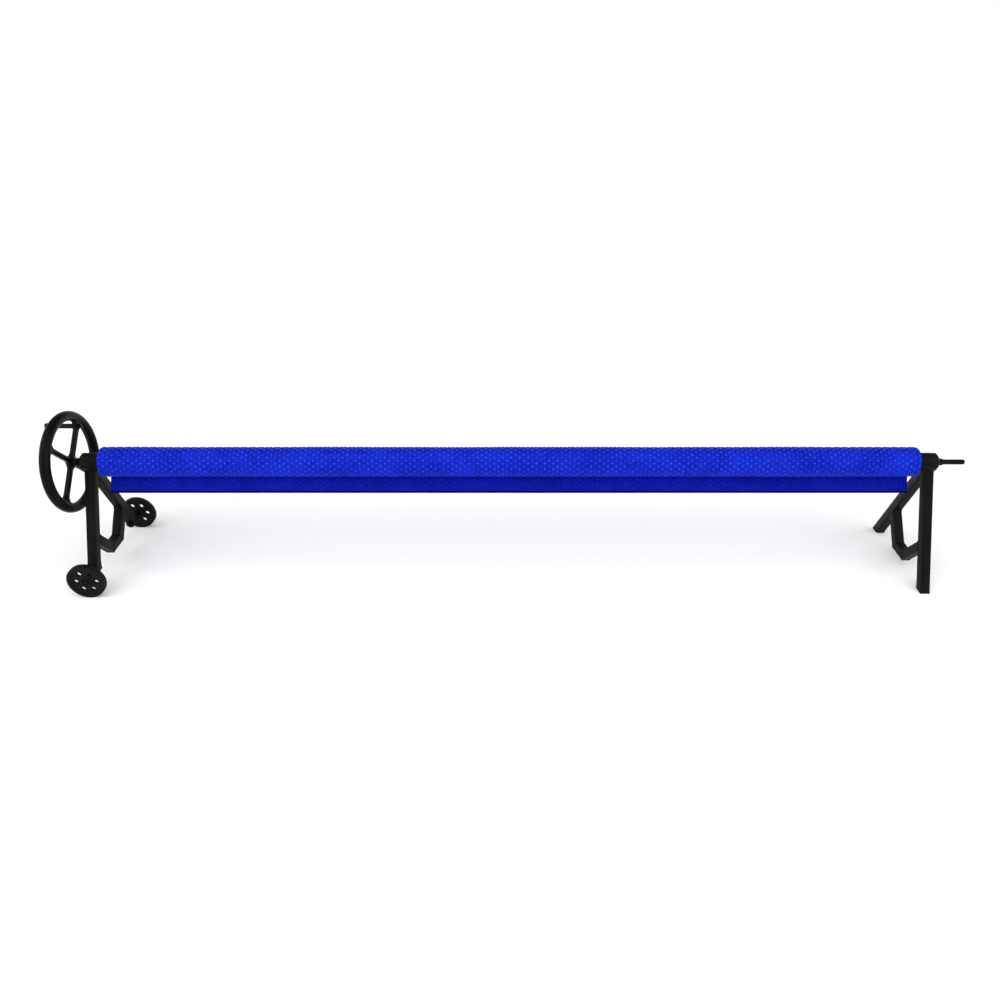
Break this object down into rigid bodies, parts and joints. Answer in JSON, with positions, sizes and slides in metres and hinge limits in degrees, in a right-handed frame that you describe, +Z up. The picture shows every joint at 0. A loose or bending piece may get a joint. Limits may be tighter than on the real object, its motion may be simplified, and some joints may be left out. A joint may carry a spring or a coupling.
{
  "type": "pool cover reel",
  "caption": "Pool cover reel: A-frame stands with rollers and feet carry a hand-wheel-driven tube with a rolled-up blue bubble cover and its hanging loose end.",
  "frame": {"origin": "bottom centre of the whole object's box, on the floor midway along and across it", "axes": "+X along the tube from the hand wheel to the free shaft end, +Z up, +Y from the front rollers' side to the back"},
  "size_m": [3.703, 0.546, 0.676],
  "materials": {
    "black_frame": "black powder coat, satin",
    "black_shaft": "black, satin",
    "black_plastic": "moulded, fine grain",
    "roller_plastic": "moulded, satin",
    "wheel_plastic": "moulded, satin",
    "grip_plastic": "moulded, satin",
    "foot_rubber": "matt",
    "nylon": "natural nylon",
    "tube_aluminium": "mill finish",
    "zinc_fastener": "dark zinc plated",
    "black_fastener": "black zinc plated",
    "strap_webbing": "woven strap",
    "cover_blue": "bubble film, blue, soft gloss",
    "cover_tail_blue": "bubble film, blue, soft gloss"
  },
  "bodies": {
    "stand": {"left_front_leg": "black_frame", "left_back_leg": "black_frame", "left_brace": "black_frame", "left_housing": "black_frame", "left_bushing": "nylon", "left_cap": "black_plastic", "right_front_leg": "black_frame", "right_back_leg": "black_frame", "right_brace": "black_frame", "right_housing": "black_frame", "right_bushing": "nylon", "right_cap": "black_plastic", "right_front_foot": "foot_rubber", "right_back_foot": "foot_rubber", "front_axle_block": "black_plastic", "back_axle_block": "black_plastic", "block_screws": "black_fastener", "front_axle": "black_fastener", "back_axle": "black_fastener", "axle_washers": "black_fastener", "axle_nuts": "black_fastener"},
    "front_roller": {"front_roller": "roller_plastic"},
    "back_roller": {"back_roller": "roller_plastic"},
    "reel": {"left_tube": "tube_aluminium", "centre_tube": "tube_aluminium", "right_tube": "tube_aluminium", "tube_screws": "zinc_fastener", "left_tube_plug": "black_plastic", "right_tube_plug": "black_plastic", "left_shaft": "black_shaft", "right_shaft": "black_shaft", "shaft_pins": "zinc_fastener", "collar": "black_shaft", "collar_screw": "zinc_fastener", "hand_wheel": "wheel_plastic", "wheel_pin": "zinc_fastener", "wheel_washer": "black_fastener", "wheel_bolt": "black_fastener", "handle_bolt": "black_fastener", "handle_nut": "black_fastener", "cover_straps": "strap_webbing", "cover_roll": "cover_blue", "cover_tail": "cover_tail_blue"},
    "handle": {"handle_grip": "grip_plastic"}
  },
  "joints": [
    {"name": "reel_spin", "type": "hinge", "parent": "stand", "child": "reel", "pos_m": [0, 0, 0.472], "axis": [1, 0, 0], "continuous": true},
    {"name": "handle_spin", "type": "hinge", "parent": "reel", "child": "handle", "pos_m": [-1.7925, 0.10748, 0.57948], "axis": [1, 0, 0], "continuous": true},
    {"name": "front_roller_spin", "type": "hinge", "parent": "stand", "child": "front_roller", "pos_m": [-1.6535, -0.261, 0.075], "axis": [0, 1, 0], "continuous": true},
    {"name": "back_roller_spin", "type": "hinge", "parent": "stand", "child": "back_roller", "pos_m": [-1.6535, 0.261, 0.075], "axis": [0, 1, 0], "continuous": true}
  ]
}
